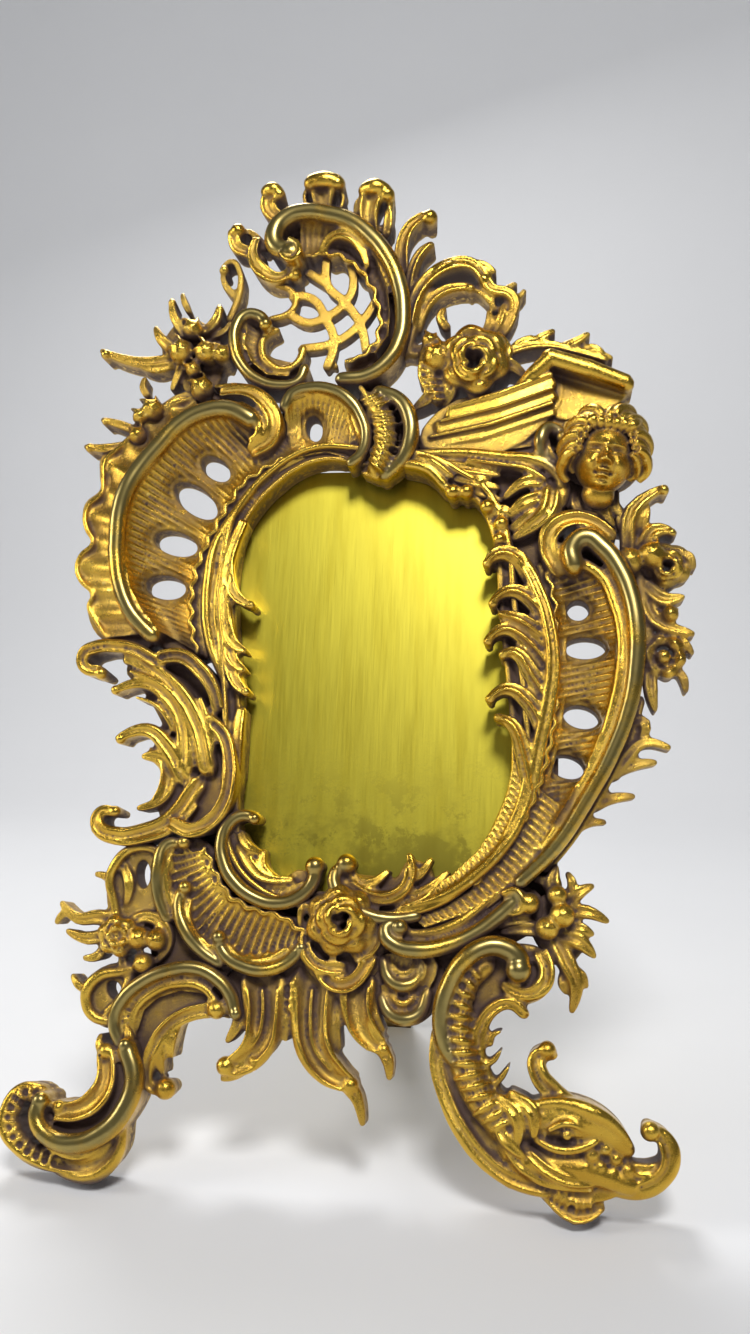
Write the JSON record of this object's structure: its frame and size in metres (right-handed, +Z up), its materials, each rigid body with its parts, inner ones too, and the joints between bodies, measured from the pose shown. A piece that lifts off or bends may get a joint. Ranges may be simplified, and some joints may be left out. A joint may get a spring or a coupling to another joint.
{
  "type": "easel picture frame",
  "caption": "Free-standing gilt cast-metal photograph frame with scrolls, shells, flowers, a child's head and a dolphin foot, a sliding brass back and a hinged strut.",
  "frame": {"origin": "on the surface the frame stands on, under the centre of its bounding box", "axes": "+Z up, front of the frame towards -Y, +X to the viewer's right"},
  "size_m": [0.2158, 0.1613, 0.3391],
  "materials": {
    "gilt": "cast and gilded, burnished on the crests, dull in the hollows",
    "brass_sheet": "vertically brushed sheet",
    "back_brass": "plain rolled brass, dull",
    "steel": "worn"
  },
  "bodies": {
    "frame": {"sight_rim": "gilt", "crown_scroll": "gilt", "crown_shell": "gilt", "crown_trellis": "gilt", "crown_sprig": "gilt", "crown_knot": "gilt", "top_hood": "gilt", "left_shell": "gilt", "left_flowers": "gilt", "left_sprig": "gilt", "upper_rose": "gilt", "lower_rose": "gilt", "pediment": "gilt", "pediment_leaf": "gilt", "cherub_head": "gilt", "cherub_wing": "gilt", "cherub_collar": "gilt", "right_shell": "gilt", "right_garland": "gilt", "right_sprigs": "gilt", "right_sight_leaf": "gilt", "left_sight_leaf": "gilt", "left_acanthus": "gilt", "left_sight_scroll": "gilt", "right_sight_scroll": "gilt", "lower_band": "gilt", "lower_cups": "gilt", "lower_shell": "gilt", "lower_left_flower": "gilt", "left_arch": "gilt", "apron": "gilt", "left_foot": "gilt", "lower_right_flower": "gilt", "right_foot": "gilt", "left_plate_guide": "back_brass", "right_plate_guide": "back_brass", "plate_stop": "back_brass", "strut_strap": "back_brass", "hinge_pin": "steel", "strap_screws": "steel", "guide_screws": "steel"},
    "backing_plate": {"backing_plate": "brass_sheet"},
    "strut": {"strut": "back_brass"}
  },
  "joints": [
    {"name": "plate_slide", "type": "slide", "parent": "frame", "child": "backing_plate", "axis": [0, 0.2756, 0.9613], "range_m": [0, 0.12]},
    {"name": "strut_hinge", "type": "hinge", "parent": "frame", "child": "strut", "pos_m": [-0.00393, 0.00574, 0.20338], "axis": [-1, 0, 0], "range_deg": [0, 36]}
  ]
}
